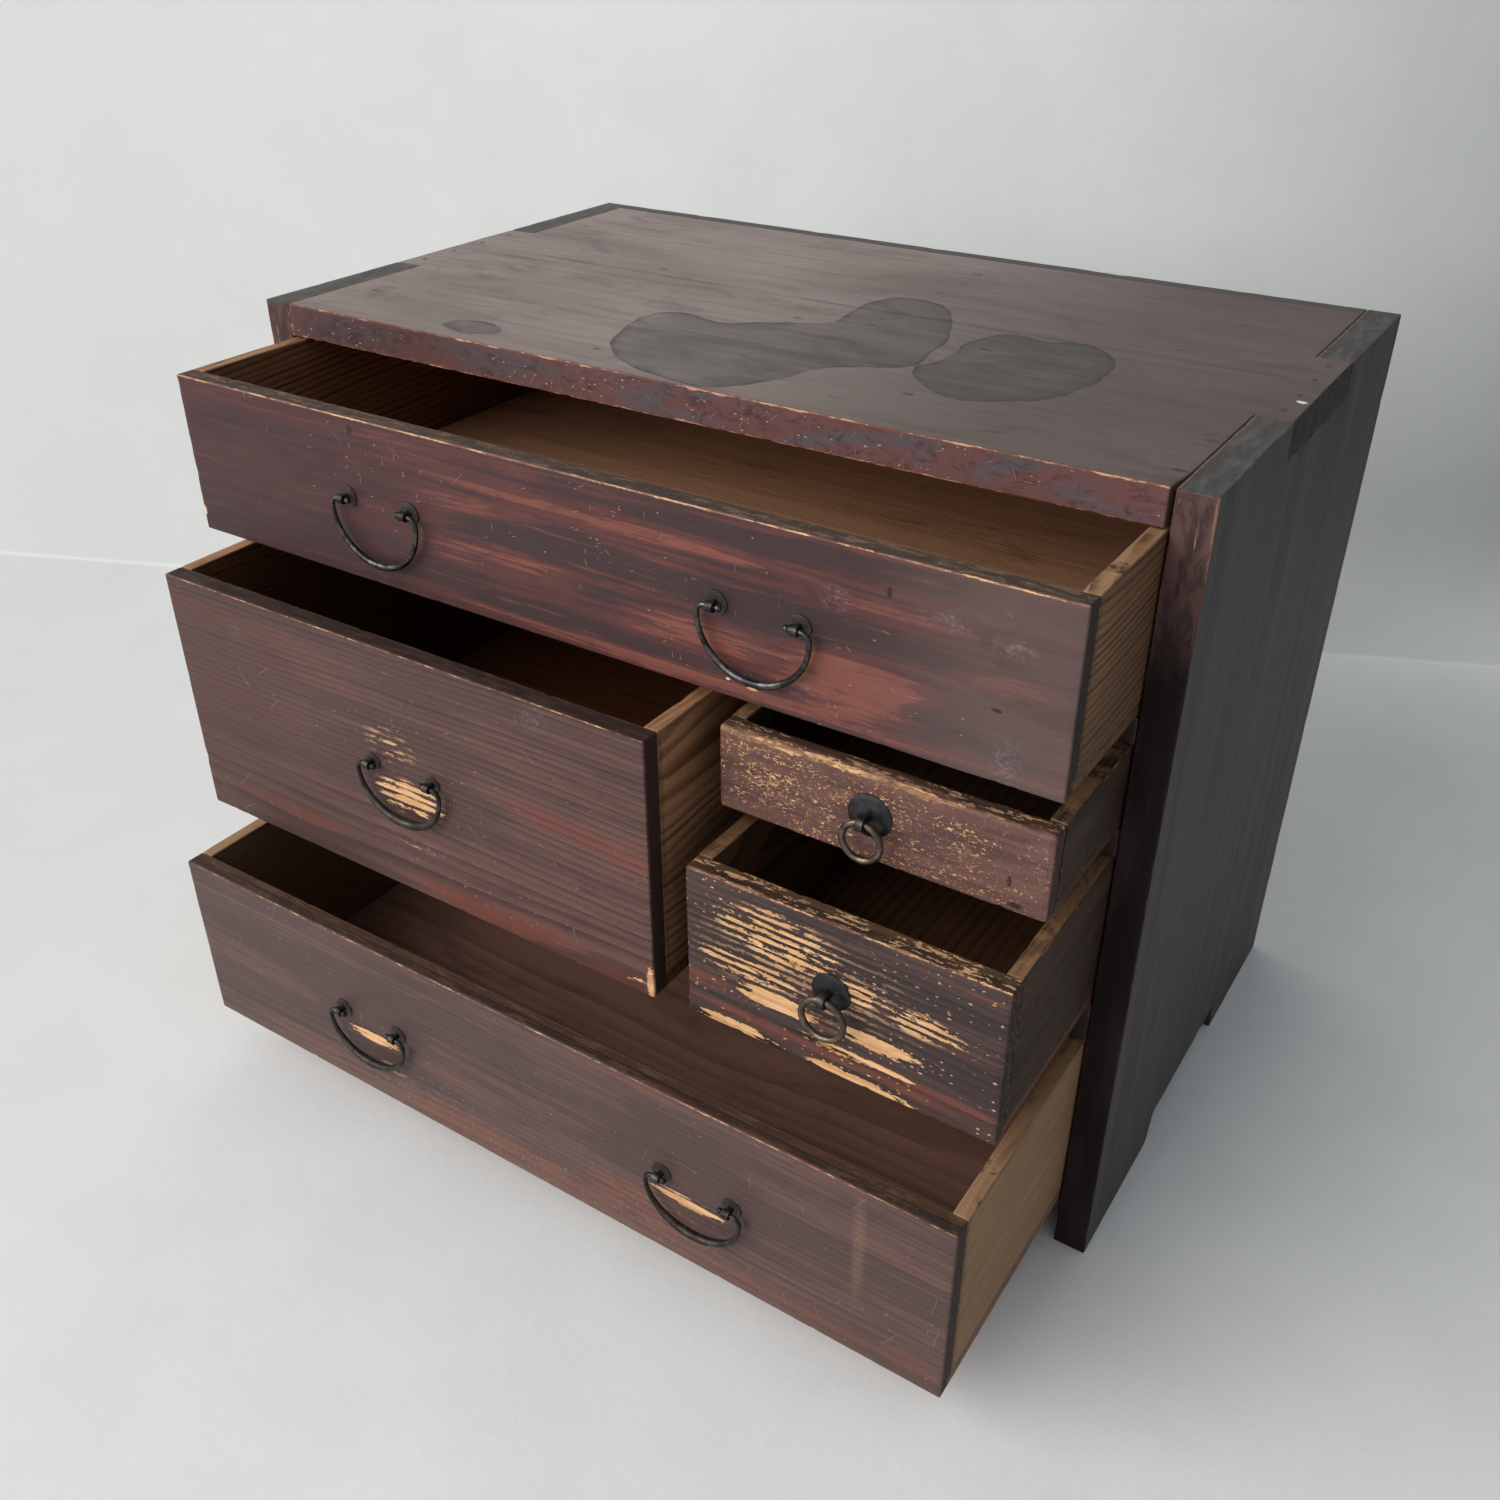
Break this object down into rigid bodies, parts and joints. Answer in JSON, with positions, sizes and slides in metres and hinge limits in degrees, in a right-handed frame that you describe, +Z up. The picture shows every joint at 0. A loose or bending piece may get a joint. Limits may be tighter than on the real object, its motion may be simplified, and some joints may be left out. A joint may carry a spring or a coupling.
{
  "type": "small chest of drawers",
  "caption": "Small lacquered wooden chest with finger-jointed boards, sliding drawers, iron bail handles and ring pulls, for keeping clothes and small things.",
  "frame": {"origin": "middle of the underside of the whole box at rest, from the carcass's back to the foremost handle eye, on the floor", "axes": "+X to the chest's right as seen from the front, -Y out of the front where the drawers open, +Z up"},
  "size_m": [0.606, 0.5178, 0.492],
  "materials": {
    "top_wood": "worn dark lacquer with water stains",
    "side_wood": "dark lacquer, dull",
    "back_wood": "bare aged softwood",
    "shelf_wood": "aged wood, dark at the front edge",
    "front_top_wood": "red-brown lacquer, worn edges",
    "front_middle_wood": "red-brown lacquer over ribbed grain",
    "front_small_upper_wood": "brown lacquer, speckled with wear",
    "front_small_lower_wood": "dark lacquer worn through to bare wood",
    "front_bottom_wood": "dark brown lacquer, worn edges",
    "drawer_side_wood": "bare aged softwood",
    "drawer_bottom_wood": "bare aged softwood",
    "peg_wood": "bare wooden pegs",
    "nail_iron": "dark rusted iron",
    "pin_iron": "blackened iron",
    "washer_iron": "blackened iron",
    "plate_iron": "blackened iron",
    "bail_iron": "blackened iron, rubbed bright in places",
    "ring_iron": "browned iron"
  },
  "bodies": {
    "carcass": {"top_board": "top_wood", "side_board_left": "side_wood", "side_board_right": "side_wood", "back_board_lower": "back_wood", "back_board_upper": "back_wood", "bottom_board": "shelf_wood", "shelf_lower": "shelf_wood", "shelf_upper": "shelf_wood", "divider": "shelf_wood", "shelf_small": "shelf_wood", "carcass_nails": "nail_iron"},
    "drawer_top": {"drawer_top_front": "front_top_wood", "drawer_top_side_left": "drawer_side_wood", "drawer_top_side_right": "drawer_side_wood", "drawer_top_back": "drawer_side_wood", "drawer_top_bottom": "drawer_bottom_wood", "drawer_top_pegs": "peg_wood", "drawer_top_eye_pins": "pin_iron", "drawer_top_washers": "washer_iron"},
    "drawer_middle": {"drawer_middle_front": "front_middle_wood", "drawer_middle_side_left": "drawer_side_wood", "drawer_middle_side_right": "drawer_side_wood", "drawer_middle_back": "drawer_side_wood", "drawer_middle_bottom": "drawer_bottom_wood", "drawer_middle_pegs": "peg_wood", "drawer_middle_eye_pins": "pin_iron", "drawer_middle_washers": "washer_iron"},
    "drawer_small_upper": {"drawer_small_upper_front": "front_small_upper_wood", "drawer_small_upper_side_left": "drawer_side_wood", "drawer_small_upper_side_right": "drawer_side_wood", "drawer_small_upper_back": "drawer_side_wood", "drawer_small_upper_bottom": "drawer_bottom_wood", "drawer_small_upper_pegs": "peg_wood", "drawer_small_upper_eye_pins": "pin_iron", "drawer_small_upper_washers": "plate_iron"},
    "drawer_small_lower": {"drawer_small_lower_front": "front_small_lower_wood", "drawer_small_lower_side_left": "drawer_side_wood", "drawer_small_lower_side_right": "drawer_side_wood", "drawer_small_lower_back": "drawer_side_wood", "drawer_small_lower_bottom": "drawer_bottom_wood", "drawer_small_lower_pegs": "peg_wood", "drawer_small_lower_eye_pins": "pin_iron", "drawer_small_lower_washers": "plate_iron"},
    "drawer_bottom": {"drawer_bottom_front": "front_bottom_wood", "drawer_bottom_side_left": "drawer_side_wood", "drawer_bottom_side_right": "drawer_side_wood", "drawer_bottom_back": "drawer_side_wood", "drawer_bottom_bottom": "drawer_bottom_wood", "drawer_bottom_pegs": "peg_wood", "drawer_bottom_eye_pins": "pin_iron", "drawer_bottom_washers": "washer_iron"},
    "bail_top_left": {"bail_top_left": "bail_iron"},
    "bail_top_right": {"bail_top_right": "bail_iron"},
    "bail_middle": {"bail_middle": "bail_iron"},
    "bail_bottom_left": {"bail_bottom_left": "bail_iron"},
    "bail_bottom_right": {"bail_bottom_right": "bail_iron"},
    "ring_small_upper": {"ring_small_upper": "ring_iron"},
    "ring_small_lower": {"ring_small_lower": "ring_iron"}
  },
  "joints": [
    {"name": "drawer_top_slide", "type": "slide", "parent": "carcass", "child": "drawer_top", "axis": [0, -1, 0], "range_m": [-0.09, 0.16]},
    {"name": "drawer_middle_slide", "type": "slide", "parent": "carcass", "child": "drawer_middle", "axis": [0, -1, 0], "range_m": [-0.127, 0.123]},
    {"name": "drawer_small_upper_slide", "type": "slide", "parent": "carcass", "child": "drawer_small_upper", "axis": [0, -1, 0], "range_m": [-0.092, 0.158]},
    {"name": "drawer_small_lower_slide", "type": "slide", "parent": "carcass", "child": "drawer_small_lower", "axis": [0, -1, 0], "range_m": [-0.124, 0.126]},
    {"name": "drawer_bottom_slide", "type": "slide", "parent": "carcass", "child": "drawer_bottom", "axis": [0, -1, 0], "range_m": [-0.159, 0.091]},
    {"name": "bail_top_left_swing", "type": "hinge", "parent": "drawer_top", "child": "bail_top_left", "pos_m": [-0.126, -0.1871, 0.42435], "axis": [-1, 0, 0], "range_deg": [-4, 170]},
    {"name": "bail_top_right_swing", "type": "hinge", "parent": "drawer_top", "child": "bail_top_right", "pos_m": [0.122, -0.1871, 0.42435], "axis": [-1, 0, 0], "range_deg": [-4, 170]},
    {"name": "bail_middle_swing", "type": "hinge", "parent": "drawer_middle", "child": "bail_middle", "pos_m": [-0.0965, -0.2241, 0.27935], "axis": [-1, 0, 0], "range_deg": [-3, 170]},
    {"name": "bail_bottom_left_swing", "type": "hinge", "parent": "drawer_bottom", "child": "bail_bottom_left", "pos_m": [-0.124, -0.2561, 0.09985], "axis": [-1, 0, 0], "range_deg": [-3, 170]},
    {"name": "bail_bottom_right_swing", "type": "hinge", "parent": "drawer_bottom", "child": "bail_bottom_right", "pos_m": [0.127, -0.2561, 0.09985], "axis": [-1, 0, 0], "range_deg": [-3, 170]},
    {"name": "ring_small_upper_swing", "type": "hinge", "parent": "drawer_small_upper", "child": "ring_small_upper", "pos_m": [0.1882, -0.1926, 0.33535], "axis": [-1, 0, 0], "range_deg": [-6, 170]},
    {"name": "ring_small_lower_swing", "type": "hinge", "parent": "drawer_small_lower", "child": "ring_small_lower", "pos_m": [0.1882, -0.2246, 0.24735], "axis": [-1, 0, 0], "range_deg": [-6, 170]}
  ]
}
